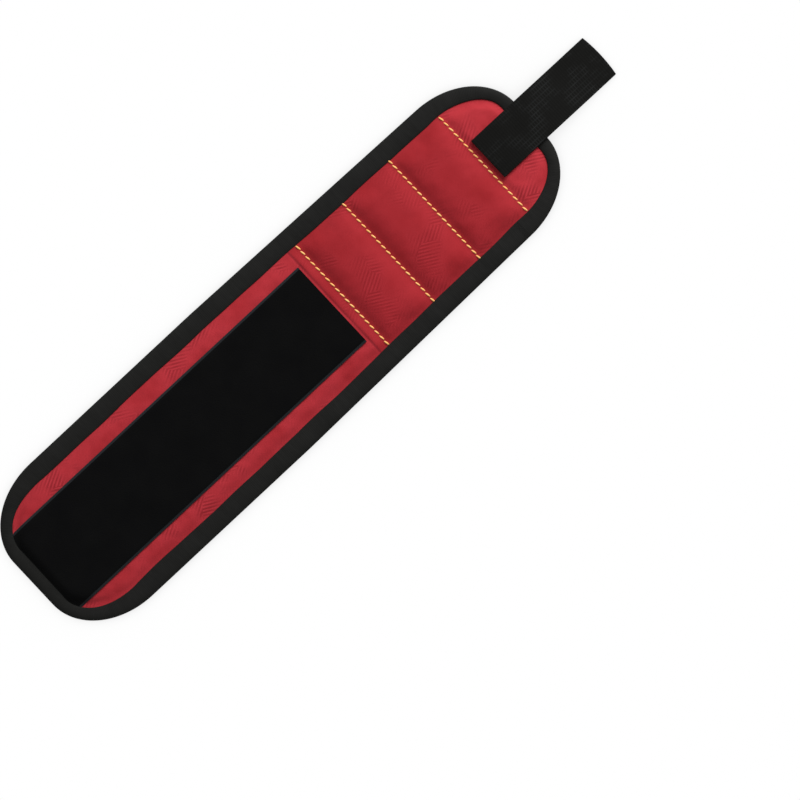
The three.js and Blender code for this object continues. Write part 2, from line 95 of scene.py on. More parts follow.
# %% Outline helpers
corner_along, corner_across = 40 * MM, 31 * MM
least_corner = 0.3 * MM
tape_side, tape_end = 10 * MM, 7 * MM
taper_start = band_start + 150 * MM
deepest, halvings = 2.6, 24


def smooth(low, high, value):
    t = np.clip((value - low) / (high - low), 0, 1)
    return t * t * (3 - 2 * t)


def half_width(x, depth):
    drawn = np.clip((x - taper_start) / (band_end - corner_along - taper_start), 0, 1)
    side = loop_half + (strap_half - loop_half) * drawn
    along = np.maximum(corner_along - tape_end * depth, least_corner)
    across = np.maximum(corner_across - tape_side * depth, least_corner)
    from_end = np.minimum(x - band_start, band_end - x) - tape_end * depth
    turn = np.clip(1 - from_end / along, 0, 1)
    half = side - tape_side * depth - across * (1 - np.sqrt(1 - turn * turn))
    return np.where(from_end < 0, -1.0, half)


def depth_at(x, y):
    inside, outside = np.zeros_like(x), np.full_like(x, deepest)
    for _ in range(halvings):
        middle = (inside + outside) / 2
        fits = half_width(x, middle) >= np.abs(y)
        inside, outside = np.where(fits, middle, inside), np.where(fits, outside, middle)
    return inside


print("width at the loop end", round(2 * loop_half / MM, 1), "mm")

# %% [markdown]
# ## Handling meshes
# A few short helpers pick one object, read and write all its points, apply a modifier, and run one
# edit mode operator on the whole of it. The points go in and out as numpy arrays, which is quick for
# cloth with a fine grid. Solidify gives a sheet its thickness, always away from the side that it shows.

# %% Points and modifiers
def pick(piece):
    bpy.ops.object.select_all(action="DESELECT")
    piece.select_set(True)
    bpy.context.view_layer.objects.active = piece


def points_of(piece):
    points = np.empty(len(piece.data.vertices) * 3, np.float32)
    piece.data.vertices.foreach_get("co", points)
    return points.reshape(-1, 3).astype(float)


def size_of(piece):
    points = points_of(piece)
    return points.max(0) - points.min(0)


def move_points(piece, points):
    piece.data.vertices.foreach_set("co", np.asarray(points, np.float32).ravel())
    piece.data.update()


def apply_modifier(piece, kind, **settings):
    pick(piece)
    modifier = piece.modifiers.new(kind.lower(), kind)
    for name, value in settings.items():
        setattr(modifier, name, value)
    bpy.ops.object.modifier_apply(modifier=modifier.name)


def thicken(piece, thickness):
    apply_modifier(piece, "SOLIDIFY", thickness=thickness, offset=-1)


def edit_all(piece, operator, **settings):
    pick(piece)
    bpy.ops.object.mode_set(mode="EDIT")
    bpy.ops.mesh.select_all(action="SELECT")
    operator(**settings)
    bpy.ops.object.mode_set(mode="OBJECT")


print("mesh helpers ready")

# %% [markdown]
# ## Sheets of cloth
# Nearly every layer starts as Blender's grid. Its rows and columns are moved to chosen stations along
# the band and lines across it, which puts fine steps only where a fold or a hem needs them. The flat
# place of every point is kept in a map called cloth, so that a weave stays on its thread when the
# sheet is bent.

# %% Grids and their flat maps
def grid_piece(name, stations, lines):
    columns, rows = len(stations) - 1, len(lines) - 1
    bpy.ops.mesh.primitive_grid_add(x_subdivisions=columns, y_subdivisions=rows, size=2)
    piece = bpy.context.active_object
    piece.name = piece.data.name = name
    points = points_of(piece)
    column = np.rint((points[:, 0] + 1) / 2 * columns).astype(int)
    row = np.rint((points[:, 1] + 1) / 2 * rows).astype(int)
    points[:, 0] = np.asarray(stations)[column]
    points[:, 1] = np.asarray(lines)[row]
    move_points(piece, points)
    return piece


def spread(breaks, step):
    stations = [breaks[0]]
    for low, high in zip(breaks, breaks[1:]):
        count = max(int(round((high - low) / step)), 1)
        stations += [low + (high - low) * part / count for part in range(1, count + 1)]
    return stations


def lines_across(hem_lines, inner, count):
    return [*(-line for line in reversed(hem_lines)), *np.linspace(-inner, inner, count), *hem_lines]


def lay_flat_map(piece, flat=None):
    if flat is None:
        flat = points_of(piece)[:, :2]
    corners = np.empty(len(piece.data.loops), np.int32)
    piece.data.loops.foreach_get("vertex_index", corners)
    layer = piece.data.uv_layers.active or piece.data.uv_layers.new(name="cloth")
    layer.name = "cloth"
    layer.data.foreach_set("uv", flat[corners].astype(np.float32).ravel())


print("sheet helpers ready")

# %% [markdown]
# ## Cutting over the folds
# Neighbouring pieces share the same cut line, so the cloth looks unbroken at rest. The cuts are
# filled, which keeps every piece closed, and are shaded as sharp edges, so that no dark line shows.

# %% Split a layer at the section middles
far = 1.0


def copy_of(piece, name):
    pick(piece)
    bpy.ops.object.duplicate()
    copy = bpy.context.active_object
    copy.name = copy.data.name = name
    return copy


def keep_between(piece, low, high):
    for x, side in ((low, "clear_inner"), (high, "clear_outer")):
        plane = {"plane_co": (x, 0, 0), "plane_no": (1, 0, 0), side: True}
        edit_all(piece, bpy.ops.mesh.bisect, use_fill=True, **plane)


def bend_over(piece):
    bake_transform(piece)


def split_over_folds(layer, name, count, solids, crease):
    pieces, last = [], count - 1
    for fold in range(count):
        piece = copy_of(layer, f"{name}_{fold + 1}")
        low = cuts[fold - 1] if fold > 0 else -far
        high = cuts[fold] if fold < last else far
        keep_between(piece, low, high)
        bpy.ops.object.shade_smooth_by_angle(angle=math.radians(crease))
        bend_over(piece)
        own = solids(sections[fold]) + (solids(sections[fold + 1]) if fold == last else [])
        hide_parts(*own)
        pieces.append(piece)
    bpy.data.objects.remove(layer)
    return pieces


print("cut at", [round(x / MM, 1) for x in cuts])

# %% [markdown]
# ## The red cover
# The cover is one sheet of woven cloth over foam. It is caught under the edge tape, sewn down along
# four straight rows and covered by the loop tape and the strap; in between the foam pushes it up.
# It could be sculpted, but a cloth simulation gives truer folds: a grid is laid on the foam, the sewn
# points are pinned, and a light pressure from below puffs up the rest. A narrow tuck lies across the
# band, just after the loop tape.

# %% Height of the front
flange_z, field_z = 3.2 * MM, 4.9 * MM
foam_from, foam_full = 1.0, 1.5


def foam_rise(depth):
    return smooth(foam_from, foam_full, depth)


def front_height(depth):
    return flange_z + (field_z - flange_z) * foam_rise(depth)


print("front", round(flange_z / MM, 1), "mm high under the edge tape,", round(field_z / MM, 1), "inside")

# %% Lay the cloth out
seam_dip, seam_reach = 1.3 * MM, 4 * MM
crown_height, crown_reach, crown_full = 1.4 * MM, 9 * MM, 2.0
tape_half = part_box("loop_tape_2")[1].y
tape_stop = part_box("loop_tape_4")[1].x
strap_start, strap_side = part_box("strap_base")[0].x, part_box("strap_base")[1].y
tuck_x, tuck_half, tuck_depth = tape_stop + 1.5 * MM, 0.9 * MM, 0.45 * MM
cloth_inset, cloth_rim = 2 * MM, 0.25
cover_step, cover_lines = 2.1 * MM, 44

tuck_breaks = [tuck_x - tuck_half, tuck_x, tuck_x + tuck_half]
cover_breaks = [band_start + cloth_inset, *tuck_breaks, *seams, band_end - cloth_inset]
cover = grid_piece("cover", spread(cover_breaks, cover_step), np.linspace(-1, 1, cover_lines))
cover_points = points_of(cover)
cover_points[:, 1] *= half_width(cover_points[:, 0], cloth_rim)
cover_x, cover_y = cover_points[:, 0], cover_points[:, 1]
cover_depth = depth_at(cover_x, cover_y)
to_seam = np.min([np.abs(cover_x - seam) for seam in seams], axis=0)
rise = foam_rise(cover_depth)
dip = seam_dip * (1 - smooth(0, seam_reach, to_seam)) * rise
in_cells = (cover_x > seams[0]) & (cover_x < seams[3])
crown = crown_height * smooth(0, crown_reach, to_seam) * smooth(foam_from, crown_full, cover_depth)
tuck = tuck_depth * (np.abs(cover_x - tuck_x) < tuck_half / 3) * rise
cover_points[:, 2] = front_height(cover_depth) - dip + np.where(in_cells, crown, 0) - tuck
move_points(cover, cover_points)
lay_flat_map(cover)
print("cover grid", len(cover_points), "points")

# %% [markdown]
# The pins are a vertex group: the strip under the edge tape, the four rows of sewing, and what lies
# under the loop tape and the sewn end of the strap. Gravity is off, since the foam carries the cloth,
# and the cloth is let out by a little under one part in a hundred, so that it has some to spare.

# %% Pin what is sewn or covered
overlap, seam_hold, tape_hold = 1 * MM, 0.5 * MM, 1.1
under_tape = (np.abs(cover_y) < tape_half - overlap) & (cover_x < tape_stop - overlap)
under_strap = (np.abs(cover_y) < strap_side - overlap) & (cover_x > strap_start + overlap)
held = (cover_depth < tape_hold) | (to_seam < seam_hold) | under_tape | under_strap
pins = cover.vertex_groups.new(name="held")
pins.add([int(index) for index in np.flatnonzero(held)], 1.0, "REPLACE")
print("held points:", int(held.sum()))

# %% Puff it up between the seams
puff_steps = 20
cloth = cover.modifiers.new("cloth", "CLOTH")
settings = cloth.settings
settings.quality = 6
settings.mass = 0.1
settings.tension_stiffness = settings.compression_stiffness = 25
settings.shear_stiffness = 8
settings.bending_stiffness = 0.05
settings.air_damping = 3
settings.use_pressure = True
settings.uniform_pressure_force = 4
settings.shrink_min = settings.shrink_max = -0.008
settings.vertex_group_mass = pins.name
settings.effector_weights.gravity = 0
cloth.point_cache.frame_end = puff_steps
for step in range(1, puff_steps + 1):
    bpy.context.scene.frame_set(step)
pick(cover)
bpy.ops.object.modifier_apply(modifier=cloth.name)
bpy.context.scene.frame_set(1)
lift = points_of(cover) - cover_points
print("puff before the cap, mm:", np.round(lift.min(0) / MM, 2), np.round(lift.max(0) / MM, 2))

# %% [markdown]
# Foam gives way only so far, so the puff is capped, at 0.7 mm upwards and 0.4 mm along and across. The
# cap is a soft one, which keeps the shape of the puff and its small folds, and one step of subdivision
# rounds the grid off.

# %% Cap the puff and round it off
most_lift, most_sink = np.array([0.4, 0.4, 0.7]) * MM, 0.1 * MM
lift[:, 2] = np.maximum(lift[:, 2], -most_sink)
move_points(cover, cover_points + most_lift * np.tanh(lift / most_lift))
cover.vertex_groups.clear()
apply_modifier(cover, "SUBSURF", levels=1, render_levels=1)
print("cover top", round(points_of(cover)[:, 2].max() / MM, 2), "mm")

# %% [markdown]
# Under the cloth is the foam, and the two are one pad: Solidify copies the sheet downwards and joins
# the rims, at any thickness, and the copy is then laid just above the lining. That leaves a closed
# form, thick in the middle and thin where the edge tape will grip it.

# %% Close the pad on the lining side
back_flange_z, back_field_z = 1.75 * MM, 1.05 * MM
above_lining, pad_thickness = 0.4 * MM, 1 * MM


def lining_height(x, y):
    return back_flange_z + (back_field_z - back_flange_z) * foam_rise(depth_at(x, y))


top_points = points_of(cover)
thicken(cover, pad_thickness)
under_points = top_points.copy()
under_points[:, 2] = lining_height(under_points[:, 0], under_points[:, 1]) + above_lining
move_points(cover, np.concatenate([top_points, under_points]))
print("pad", len(cover.data.polygons), "faces")

# %% [markdown]
# ## Colours and nodes
# Colours are written as they look, in six hex digits, and turned into the linear values that the
# shader wants. Finishes are made of many small nodes, so short helpers add them: one for sums, one
# for mixed colours, one that stretches a value to a new range, and one for any other node.

# %% Node helpers
def paint(code):
    steps = [int(code[at:at + 2], 16) / 255 for at in (0, 2, 4)]
    linear = [s / 12.92 if s < 0.04045 else ((s + 0.055) / 1.055) ** 2.4 for s in steps]
    return (*linear, 1.0)


def feed(tree, socket, value):
    if isinstance(value, bpy.types.NodeSocket):
        tree.links.new(value, socket)
    else:
        socket.default_value = value


def feed_named(tree, node, inputs):
    for name, value in inputs.items():
        feed(tree, node.inputs[name.replace("_", " ")], value)


def add_node(tree, kind, **inputs):
    node = tree.nodes.new(kind)
    feed_named(tree, node, inputs)
    return node


def sum_node(tree, operation, first, second=0.0, third=0.0):
    node = tree.nodes.new("ShaderNodeMath")
    node.operation = operation
    for socket, value in zip(node.inputs, (first, second, third)):
        feed(tree, socket, value)
    return node.outputs[0]


def mix_colours(tree, share, low, high):
    node = tree.nodes.new("ShaderNodeMix")
    node.data_type = "RGBA"
    for index, value in ((0, share), (6, low), (7, high)):
        feed(tree, node.inputs[index], value)
    return node.outputs[2]


def stretch(tree, value, low, high, at_low=0.0, at_high=1.0):
    ranges = {"From_Min": low, "From_Max": high, "To_Min": at_low, "To_Max": at_high}
    return add_node(tree, "ShaderNodeMapRange", Value=value, **ranges).outputs["Result"]


print("node helpers ready")

# %% [markdown]
# Most patterns ask where a point lies along and across the cloth, how far it is from some line, or
# want a mask turned round. Those sums come back so often that they get names too.

# %% Places on the cloth
def times(tree, first, second):
    return sum_node(tree, "MULTIPLY", first, second)


def rest_of(tree, share):
    return sum_node(tree, "SUBTRACT", 1.0, share)


def distance_from(tree, value, place):
    return sum_node(tree, "ABSOLUTE", sum_node(tree, "SUBTRACT", value, place))


def along_across(tree, cloth):
    parts = add_node(tree, "ShaderNodeSeparateXYZ", Vector=cloth).outputs
    return parts["X"], parts["Y"]


print("sums named")

# %% [markdown]
# ## Shared cloth effects
# Three effects come back in many finishes, so each is a node group, built once and given its own
# values in each finish. "weave" is over-and-under thread at a pitch given for each way, "ribs" are
# straight cords at a pitch and turn, and "mottle" is the slow, cloudy change of shade that all worn
# cloth has, with fine flecks on top.

# %% Making groups
def new_group(name, inputs, outputs):
    group = bpy.data.node_groups.new(name, "ShaderNodeTree")
    for way, sockets in (("INPUT", inputs), ("OUTPUT", outputs)):
        for label, kind in sockets.items():
            group.interface.new_socket(name=label, in_out=way, socket_type=f"NodeSocket{kind}")
    entry, leave = group.nodes.new("NodeGroupInput"), group.nodes.new("NodeGroupOutput")
    return group, entry.outputs, leave.inputs


def use_group(tree, group, **inputs):
    node = tree.nodes.new("ShaderNodeGroup")
    node.node_tree = group
    feed_named(tree, node, inputs)
    return node.outputs


print("group helpers ready")

# %% Weave
weave, given, made = new_group(
    "weave", {"Cloth": "Vector", "Along": "Float", "Across": "Float"}, {"Height": "Float"})
along, across = along_across(weave, given["Cloth"])
warp = sum_node(weave, "SINE", times(weave, along, given["Along"]))
weft = sum_node(weave, "SINE", times(weave, across, given["Across"]))
warp_over = sum_node(weave, "GREATER_THAN", times(weave, warp, weft), 0.0)
warp_height = times(weave, sum_node(weave, "ABSOLUTE", warp), warp_over)
weft_height = times(weave, sum_node(weave, "ABSOLUTE", weft), rest_of(weave, warp_over))
weave.links.new(sum_node(weave, "ADD", warp_height, weft_height), made["Height"])
print("group:", weave.name)

# %% Ribs
ribs, given, made = new_group(
    "ribs", {"Cloth": "Vector", "Turn": "Float", "Count": "Float"}, {"Height": "Float"})
along, across = along_across(ribs, given["Cloth"])
along_part = times(ribs, along, sum_node(ribs, "COSINE", given["Turn"]))
across_part = times(ribs, across, sum_node(ribs, "SINE", given["Turn"]))
slanting = sum_node(ribs, "ADD", along_part, across_part)
wave = sum_node(ribs, "SINE", times(ribs, slanting, given["Count"]))
ribs.links.new(sum_node(ribs, "MULTIPLY_ADD", wave, 0.5, 0.5), made["Height"])
print("group:", ribs.name)

# %% Mottle
flecks_per_cloud = 24.0
mottle, given, made = new_group(
    "mottle", {"Cloth": "Vector", "Scale": "Float"}, {"Cloud": "Float", "Fleck": "Float"})
scales = {"Cloud": (given["Scale"], 3.0), "Fleck": (times(mottle, given["Scale"], flecks_per_cloud), 2.0)}
for output, (scale, detail) in scales.items():
    noise = add_node(mottle, "ShaderNodeTexNoise", Vector=given["Cloth"], Scale=scale, Detail=detail)
    mottle.links.new(noise.outputs["Fac"], made[output])
print("group:", mottle.name)

# %% [markdown]
# ## Setting up a finish
# Every cloth finish is one Principled shader that reads the flat map. Its roughness, gloss and fuzz
# are plain numbers on the shader's own sockets; colour and bump come from nodes. The groups are placed
# with pitches in millimetres, since that is how a weaver counts.

# %% Finish helpers
def per_metre(pitch_mm):
    return 2 * math.pi / (pitch_mm * MM)


def weave_on(tree, cloth, along_mm, across_mm):
    counts = {"Along": per_metre(along_mm), "Across": per_metre(across_mm)}
    return use_group(tree, weave, Cloth=cloth, **counts)["Height"]


def ribs_on(tree, cloth, pitch_mm, turn=0.0):
    return use_group(tree, ribs, Cloth=cloth, Turn=math.radians(turn), Count=per_metre(pitch_mm))["Height"]


def mottle_on(tree, cloth, scale):
    return use_group(tree, mottle, Cloth=cloth, Scale=scale)


def new_finish(name):
    material = bpy.data.materials.new(name)
    material.use_nodes = True
    tree = material.node_tree
    tree.nodes.clear()
    shader = tree.nodes.new("ShaderNodeBsdfPrincipled")
    out = tree.nodes.new("ShaderNodeOutputMaterial")
    tree.links.new(shader.outputs[0], out.inputs["Surface"])
    cloth_map = tree.nodes.new("ShaderNodeUVMap")
    cloth_map.uv_map = "cloth"
    return material, tree, shader, cloth_map.outputs["UV"]


def set_surface(tree, shader, colour, roughness, gloss, fuzz=0.0):
    tree.links.new(colour, shader.inputs["Base Color"])
    shader.inputs["Roughness"].default_value = roughness
    shader.inputs["Specular IOR Level"].default_value = gloss
    shader.inputs["Sheen Weight"].default_value = fuzz


def add_bump(tree, shader, height, distance, strength):
    bump = add_node(tree, "ShaderNodeBump", Height=height, Distance=distance, Strength=strength)
    tree.links.new(bump.outputs["Normal"], shader.inputs["Normal"])


def dress(pieces, material):
    for piece in pieces:
        piece.data.materials.clear()
        piece.data.materials.append(material)


print("finish helpers ready")

# %% [markdown]
# ## Finish of the cover
# Red woven cloth with a figured weave: patches of fine slanting ribs that lean one way, then the
# other. They only show where the light catches them, so a slow cloud fades them in and out. The
# thread itself is half a millimetre thick and is left to the bump. Shade on the cells is painted: the
# cloth between the tuck and the last row is painted a shade darker, and a dark line of painted shade
# lies in the crease of the tuck.

# %% Figure of the red cloth
red_cloth, tree, shader, cloth = new_finish("red_figured_cloth")
hatch_pitch, hatch_turn = 1.7, 61
patch_pitch, patch_turn, patch_share = 26, 45, 0.22
leaning, leaning_back = (ribs_on(tree, cloth, hatch_pitch, turn) for turn in (hatch_turn, -hatch_turn))
patch_one, patch_two = (ribs_on(tree, cloth, patch_pitch, turn) for turn in (patch_turn, -patch_turn))
in_patch = sum_node(tree, "GREATER_THAN", times(tree, patch_one, patch_two), patch_share)
elsewhere = times(tree, leaning_back, rest_of(tree, in_patch))
figure = sum_node(tree, "ADD", times(tree, leaning, in_patch), elsewhere)
clouds = mottle_on(tree, cloth, 45.0)
figure_shown = times(tree, figure, stretch(tree, clouds["Cloud"], 0.52, 0.64))
print("ribs", hatch_pitch, "mm apart in patches of", patch_pitch, "mm")

# %% Colour and thread of the red cloth
base = mix_colours(tree, stretch(tree, clouds["Cloud"], 0.3, 0.7), paint("9e2229"), paint("b8343d"))
ribbed = mix_colours(tree, times(tree, figure_shown, 0.7), base, paint("7c141b"))
flecked = mix_colours(tree, times(tree, clouds["Fleck"], 0.25), ribbed, paint("8f1c24"))
along, across = along_across(tree, cloth)
# Painted shade: the cloth over the cells, between the tuck and the last row, is painted darker.
shaded_middle, shaded_half, shade_fade = (tuck_x + seams[3]) / 2, (seams[3] - tuck_x) / 2, 1 * MM
from_shaded_middle = distance_from(tree, along, shaded_middle)
painted_cell_shade = stretch(tree, from_shaded_middle, shaded_half - shade_fade, shaded_half, 0.5, 0.0)
with_cell_shade = mix_colours(tree, painted_cell_shade, flecked, paint("86141a"))
# Painted shade: a dark line painted along the crease of the tuck.
painted_tuck_shade = stretch(tree, distance_from(tree, along, tuck_x), 0.2 * MM, tuck_half, 0.6, 0.0)
with_tuck_shade = mix_colours(tree, painted_tuck_shade, with_cell_shade, paint("6a101a"))
threads = weave_on(tree, cloth, 1.1, 1.1)
height = sum_node(tree, "ADD", times(tree, figure_shown, -0.6), times(tree, threads, 0.35))
add_bump(tree, shader, height, 0.25 * MM, 0.6)
set_surface(tree, shader, with_tuck_shade, roughness=0.72, gloss=0.1, fuzz=0.06)
print("finish:", red_cloth.name)

# %% [markdown]
# The pad is dressed while it is whole, so that its figure runs on from piece to piece. Each piece
# stands for the cover and the foam of its sections.

# %% Cut the cover over the folds
dress([cover], red_cloth)
cover_pieces = split_over_folds(
    cover, "cover", len(folds), lambda part: [f"cover_{part}", f"padding_{part}"], crease=60)
print("cover pieces:", [piece.name for piece in cover_pieces])

# %% [markdown]
# ## The edge tape
# A woven tape, folded in half over the raw edge of all the layers and sewn through. A section could be
# swept along a curve, but the tape is wider at the sides than at the ends. So a loop of points is laid
# on the outline and extruded step by step round the fold: from the inner edge on the front, over the
# crest, round the edge and back in underneath. The inner edge wavers a little, as sewn tape does.

# %% A loop on the outline
def outline_loop(depth, count):
    along, across = corner_along - tape_end * depth, corner_across - tape_side * depth
    loop_x, strap_x = band_start + corner_along, band_end - corner_along
    loop_y, strap_y = loop_half - corner_across, strap_half - corner_across
    corners = [(strap_x, -strap_y, -90), (strap_x, strap_y, 0), (loop_x, loop_y, 90), (loop_x, -loop_y, 180)]
    runs = []
    for at_x, at_y, start in corners:
        turns = np.radians(start + 90 * np.linspace(0, 1, count))
        runs.append(np.column_stack([at_x + along * np.cos(turns), at_y + across * np.sin(turns)]))
    taper_y, sides = loop_half - tape_side * depth, 2 * count
    upper = np.linspace(runs[1][-1], (taper_start, taper_y), sides)[1:-1]
    upper_far = np.linspace((taper_start, taper_y), runs[2][0], sides)[:-1]
    lower = np.linspace(runs[3][-1], (taper_start, -taper_y), sides)[1:-1]
    lower_far = np.linspace((taper_start, -taper_y), runs[0][0], sides)[:-1]
    return np.concatenate([runs[0], runs[1], upper, upper_far, runs[2], runs[3], lower, lower_far])


def waves(turns, *parts):
    return sum(size * np.sin(count * turns + start) for size, count, start in parts)


corner_steps, corner_loss, loop_close = 30, 0.4, 2 * MM
edge_line, inner_line = outline_loop(0, corner_steps), outline_loop(1, corner_steps)
leaf = np.linalg.norm(inner_line - edge_line, axis=1)
inwards = (inner_line - edge_line) / leaf[:, None]
run = np.concatenate([[0], np.cumsum(np.linalg.norm(np.diff(edge_line, axis=0), axis=1))])
loop_turns = run / (run[-1] + loop_close) * 2 * math.pi
waver = waves(loop_turns, (0.16, 9, 0), (0.12, 16, 1), (0.06, 29, 2)) * MM
narrow = 1 - corner_loss * np.abs(inwards[:, 0] * inwards[:, 1])
print("edge tape runs", round(run[-1] / MM), "mm round the band")

# %% [markdown]
# The section of the fold is a list of steps: how far in, as a share of the tape's width, and how high
# in millimetres. The map is laid along the tape and across its unfolded width, and Solidify then makes
# it half a millimetre thick.

# %% Extrude it round the fold
section = [(1.0, 3.1), (1.0, 3.6), (0.97, 3.85), (0.88, 4.05), (0.7, 4.32), (0.5, 4.45), (0.3, 4.35),
           (0.15, 4.05), (0.05, 3.6), (0.0, 2.9), (0.0, 2.0), (0.05, 1.3), (0.15, 0.85), (0.3, 0.55),
           (0.5, 0.45), (0.7, 0.5), (0.88, 0.65), (0.97, 0.8), (1.0, 1.0), (1.0, 1.7)]
waver_from, binding_thickness = 0.8, 0.5 * MM
bpy.ops.mesh.primitive_circle_add(vertices=len(edge_line), radius=1, fill_type="NOTHING")
binding = bpy.context.active_object
binding.name = binding.data.name = "binding"
bpy.ops.object.mode_set(mode="EDIT")
rings, spans, wound = [], [], 0.0
for step, (part, height) in enumerate(section):
    if step > 0:
        bpy.ops.mesh.extrude_edges_indiv()
        part_before, height_before = section[step - 1]
        wound += np.hypot((part - part_before) * tape_side, (height - height_before) * MM)
    reach = leaf * narrow * part + (waver * part if part > waver_from else 0)
    flat = edge_line + inwards * reach[:, None]
    ripple = waves(loop_turns, (0.05, 23, part), (0.04, 41, 2 * part))
    rings.append(np.column_stack([flat, (height + ripple) * MM]))
    spans.append(np.column_stack([run, np.full(len(run), wound)]))
bpy.ops.object.mode_set(mode="OBJECT")
move_points(binding, np.concatenate(rings))
lay_flat_map(binding, np.concatenate(spans))
edit_all(binding, bpy.ops.mesh.normals_make_consistent, inside=False)
thicken(binding, binding_thickness)
print("edge tape", len(binding.data.polygons), "faces,", round(wound / MM, 1), "mm wide when unfolded")

# %% [markdown]
# ## Finish of the edge tape
# Black ribbed tape: fine cords run across it, and a row of black stitches runs close to both inner
# edges. The map was laid along the tape, so cords and stitches follow it round the corners. Stretched
# noise adds the small creases that the tape gets from being folded.

# %% Black ribbed tape
black_tape, tree, shader, cloth = new_finish("black_ribbed_tape")
stitch_line, stitch_half, stitch_beat = 2.6 * MM, 0.35 * MM, 2.6
cords = ribs_on(tree, cloth, 0.9)
clouds = mottle_on(tree, cloth, 70.0)
along, across = along_across(tree, cloth)
to_edge = sum_node(tree, "PINGPONG", across, wound / 2)
in_row = sum_node(tree, "LESS_THAN", distance_from(tree, to_edge, stitch_line), stitch_half)
beat = sum_node(tree, "SINE", times(tree, along, per_metre(stitch_beat)))
stitch = times(tree, in_row, sum_node(tree, "GREATER_THAN", beat, -0.4))
base = mix_colours(tree, clouds["Cloud"], paint("151514"), paint("20201f"))
corded = mix_colours(tree, times(tree, cords, 0.3), base, paint("141413"))
drawn_out = add_node(tree, "ShaderNodeMapping", Vector=cloth, Scale=(1, 0.35, 1)).outputs["Vector"]
creases = add_node(tree, "ShaderNodeTexNoise", Vector=drawn_out, Scale=190.0, Detail=2.0).outputs["Fac"]
sewn = sum_node(tree, "ADD", times(tree, cords, 0.5), times(tree, stitch, 0.8))
add_bump(tree, shader, sum_node(tree, "MULTIPLY_ADD", creases, 5.0, sewn), 0.2 * MM, 0.5)
set_surface(tree, shader, corded, roughness=0.7, gloss=0.05, fuzz=0.02)
print("finish:", black_tape.name)

# %% [markdown]
# The tape is held folded, and its map is as wide as what was wound round the fold. It is dressed
# while it is whole and then cut over the folds like the cover.

# %% Cut the edge tape over the folds
def binding_solids(part):
    ends = part in ("loop_1", "tail")
    return [f"binding_{part}"] if ends else [f"binding_{part}_left", f"binding_{part}_right"]


dress([binding], black_tape)
binding_pieces = split_over_folds(
    binding, "binding", len(folds), binding_solids, crease=60)
print("edge tape pieces:", [piece.name for piece in binding_pieces])

# %% [markdown]
# ## The loop tape
# A broad tape with a soft pile on its face. It is sewn to the cover along its two woven borders, and
# its far end is caught under the edge tape, so it dips there. The pile could be hair, but loops this
# fine are never seen one by one. So a grid is laid over the cover, lowered at the borders, and given
# its thickness downwards.

# %% Lay the loop tape
tape_begin, tape_step, tape_thickness = band_start + 6.4 * MM, 2 * MM, 1.6 * MM
tape_field, tape_rows = 0.89, 23
border_from, border_full, rim_from = 0.94, 0.96, 0.985
caught_depth, border_depth, pile_full = 0.72, 1.3, 1.6
# The pile and the drops at its sides are in millimetres.
pile_base, pile_height, border_drop, rim_drop = 0.35, 1.2, 0.45, 0.2
tape_lines = lines_across([0.945, 0.955, rim_from, 1], tape_field, tape_rows)
loop_tape = grid_piece("loop_tape", spread([tape_begin, tape_stop], tape_step), tape_lines)
tape_points = points_of(loop_tape)
tape_x, tape_y = tape_points[:, 0].copy(), tape_points[:, 1].copy()
tape_points[:, 1] = tape_y * np.minimum(tape_half, half_width(tape_x, caught_depth))
depth = depth_at(tape_x, tape_points[:, 1])
border = smooth(border_from, border_full, np.abs(tape_y)) * (depth > border_depth)
rim = smooth(rim_from, 1.0, np.abs(tape_y))
pile = pile_base + pile_height * smooth(foam_from, pile_full, depth)
tape_points[:, 2] = front_height(depth) + (pile - border_drop * border - rim_drop * rim) * MM
move_points(loop_tape, tape_points)
lay_flat_map(loop_tape)
thicken(loop_tape, tape_thickness)
print("loop tape top", round(points_of(loop_tape)[:, 2].max() / MM, 2), "mm")

# %% [markdown]
# ## Finish of the loop tape
# The pile is deep black and hardly shines, because light gets lost between its loops; very fine noise
# in the bump is enough for it. The borders are flat weave and a little lighter. A mask from the place
# across the tape keeps the two apart.

# %% Black pile with woven borders
black_pile, tree, shader, cloth = new_finish("black_loop_pile")
woven_from = 0.952
clouds = mottle_on(tree, cloth, 60.0)
loops = add_node(tree, "ShaderNodeTexNoise", Vector=cloth, Scale=1400.0, Detail=2.0).outputs["Fac"]
along, across = along_across(tree, cloth)
woven = sum_node(tree, "GREATER_THAN", sum_node(tree, "ABSOLUTE", across), tape_half * woven_from)
cords = weave_on(tree, cloth, 1.4, 1.0)
pile_colour = mix_colours(tree, clouds["Cloud"], paint("070708"), paint("0f0f0f"))
border_colour = mix_colours(tree, cords, paint("1a1b1d"), paint("2a2c2f"))
loops_high = times(tree, loops, rest_of(tree, woven))
cords_high = times(tree, times(tree, cords, woven), 0.4)
add_bump(tree, shader, sum_node(tree, "ADD", loops_high, cords_high), 0.4 * MM, 0.6)
tape_colour = mix_colours(tree, woven, pile_colour, border_colour)
set_surface(tree, shader, tape_colour, roughness=0.95, gloss=0.02, fuzz=0.01)
shader.inputs["Sheen Roughness"].default_value = 0.6
dress([loop_tape], black_pile)
print("finish:", black_pile.name)

# %% [markdown]
# The tape lies flat on the cover. It ends before the fourth fold and needs only three strips.

# %% Cut the loop tape over the folds
tape_folds = 3
tape_pieces = split_over_folds(
    loop_tape, "loop_tape_strip", tape_folds, lambda part: [f"loop_tape_{part[-1]}"], crease=50)
for piece, pad in zip(tape_pieces, cover_pieces):
    length, width = size_of(piece)[:2]
print("loop tape pieces:", [piece.name for piece in tape_pieces])

# %% [markdown]
# ## The orange sewing
# Each stitch is a short length of thread that leaves the cloth, lies slantwise for three and a half
# millimetres and dives back in. One stitch is a stretched ball whose ends are sunk; an array copies it
# along the row, and the row is then laid into the channel that the sewing draws. A bump on the cloth
# would be quicker, but the stitches catch the light, so they are real.

